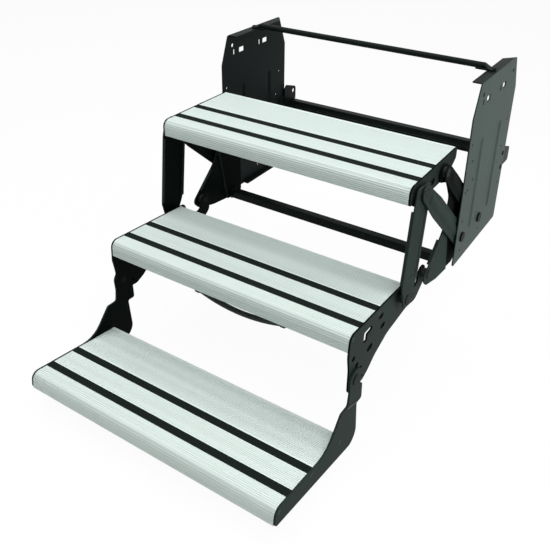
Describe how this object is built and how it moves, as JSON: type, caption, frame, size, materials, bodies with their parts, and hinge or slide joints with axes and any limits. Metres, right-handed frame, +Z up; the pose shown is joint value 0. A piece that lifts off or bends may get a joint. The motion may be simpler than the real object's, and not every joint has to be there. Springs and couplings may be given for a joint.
{
  "type": "caravan pull-out step",
  "caption": "Folding entrance step for a vehicle: ribbed treads with grip strips on a parallelogram linkage that swings out of a housing of side plates.",
  "frame": {"origin": "on the axis of the front pair of mounting bolt holes, midway between the two side plates", "axes": "+X across the step to the right as seen by someone climbing it, +Y from the lowest tread towards the vehicle, +Z up"},
  "size_m": [0.6522, 1.0363, 0.6299],
  "materials": {
    "tread_aluminium": "extruded, finely ribbed, satin",
    "grip_rubber": "matt, grooved",
    "black_paint": "satin black powder coat",
    "plated_steel": "zinc plated",
    "dark_steel": "blackened steel",
    "bush_nylon": "black nylon",
    "dull_black": "dull black dip coat",
    "handle_coating": "plastic-coated bar"
  },
  "bodies": {
    "housing": {"side_plate_right": "black_paint", "side_plate_left": "black_paint", "top_flange_right": "black_paint", "top_flange_left": "black_paint", "bottom_flange_right": "black_paint", "bottom_flange_left": "black_paint", "upper_tie_bar": "black_paint", "tie_bar_rivets": "dark_steel", "rear_cross_channel": "black_paint", "channel_bracket_right": "black_paint", "channel_bracket_left": "black_paint", "bracket_rivets_set": "dark_steel", "arm_pivot_bolts": "dark_steel", "arm_pivot_clips": "plated_steel"},
    "front_arms": {"front_arm_right": "black_paint", "front_arm_left": "black_paint"},
    "rear_arms": {"rear_arm_right": "black_paint", "rear_arm_left": "black_paint"},
    "top_tread": {"tread_panel_top": "tread_aluminium", "grip_strips_top": "grip_rubber", "end_plate_top_right": "black_paint", "end_plate_top_left": "black_paint", "end_screws_top": "plated_steel", "tread_pins_top": "dark_steel", "spacer_bushes_top": "bush_nylon"},
    "front_legs": {"front_leg_right": "black_paint", "front_leg_left": "black_paint"},
    "rear_legs": {"rear_leg_right": "black_paint", "rear_leg_left": "black_paint", "leg_gusset_right": "dull_black", "leg_gusset_left": "dull_black", "leg_cross_tube": "black_paint"},
    "middle_tread": {"tread_panel_middle": "tread_aluminium", "grip_strips_middle": "grip_rubber", "end_plate_middle_right": "black_paint", "end_plate_middle_left": "black_paint", "end_screws_middle": "plated_steel", "tread_pins_middle": "dark_steel", "spacer_bushes_middle": "bush_nylon", "swing_hinge_pins": "dark_steel", "leg_stop_pins": "dark_steel", "swing_stop_pins": "dark_steel", "pull_handle": "handle_coating"},
    "lower_tread": {"tread_panel_lower": "tread_aluminium", "grip_strips_lower": "grip_rubber", "swing_arm_right": "black_paint", "swing_arm_left": "black_paint", "arm_screws_lower": "plated_steel", "hinge_washers": "plated_steel"}
  },
  "joints": [
    {"name": "fold", "type": "hinge", "parent": "housing", "child": "front_arms", "pos_m": [0, -0.01, -0.334], "axis": [-1, 0, 0], "range_deg": [0, 50]},
    {"name": "top_tread_level", "type": "hinge", "parent": "front_arms", "child": "top_tread", "pos_m": [0, -0.248, -0.124], "axis": [1, 0, 0], "range_deg": [0, 50]},
    {"name": "rear_arm_swing", "type": "hinge", "parent": "housing", "child": "rear_arms", "pos_m": [0, 0.1, -0.334], "axis": [-1, 0, 0], "range_deg": [0, 50]},
    {"name": "front_leg_swing", "type": "hinge", "parent": "top_tread", "child": "front_legs", "pos_m": [0, -0.248, -0.124], "axis": [1, 0, 0], "range_deg": [0, 50]},
    {"name": "rear_leg_swing", "type": "hinge", "parent": "top_tread", "child": "rear_legs", "pos_m": [0, -0.138, -0.124], "axis": [1, 0, 0], "range_deg": [0, 50]},
    {"name": "middle_tread_level", "type": "hinge", "parent": "front_legs", "child": "middle_tread", "pos_m": [0, -0.275, -0.354], "axis": [-1, 0, 0], "range_deg": [0, 50]},
    {"name": "flip", "type": "hinge", "parent": "middle_tread", "child": "lower_tread", "pos_m": [0, -0.46773, -0.42564], "axis": [-1, 0, 0], "range_deg": [0, 176.5]}
  ],
  "couplings": [
    {"joint": "top_tread_level", "follows": "fold", "ratio": 1},
    {"joint": "rear_arm_swing", "follows": "fold", "ratio": 1},
    {"joint": "front_leg_swing", "follows": "fold", "ratio": 1},
    {"joint": "rear_leg_swing", "follows": "fold", "ratio": 1},
    {"joint": "middle_tread_level", "follows": "fold", "ratio": 1}
  ]
}
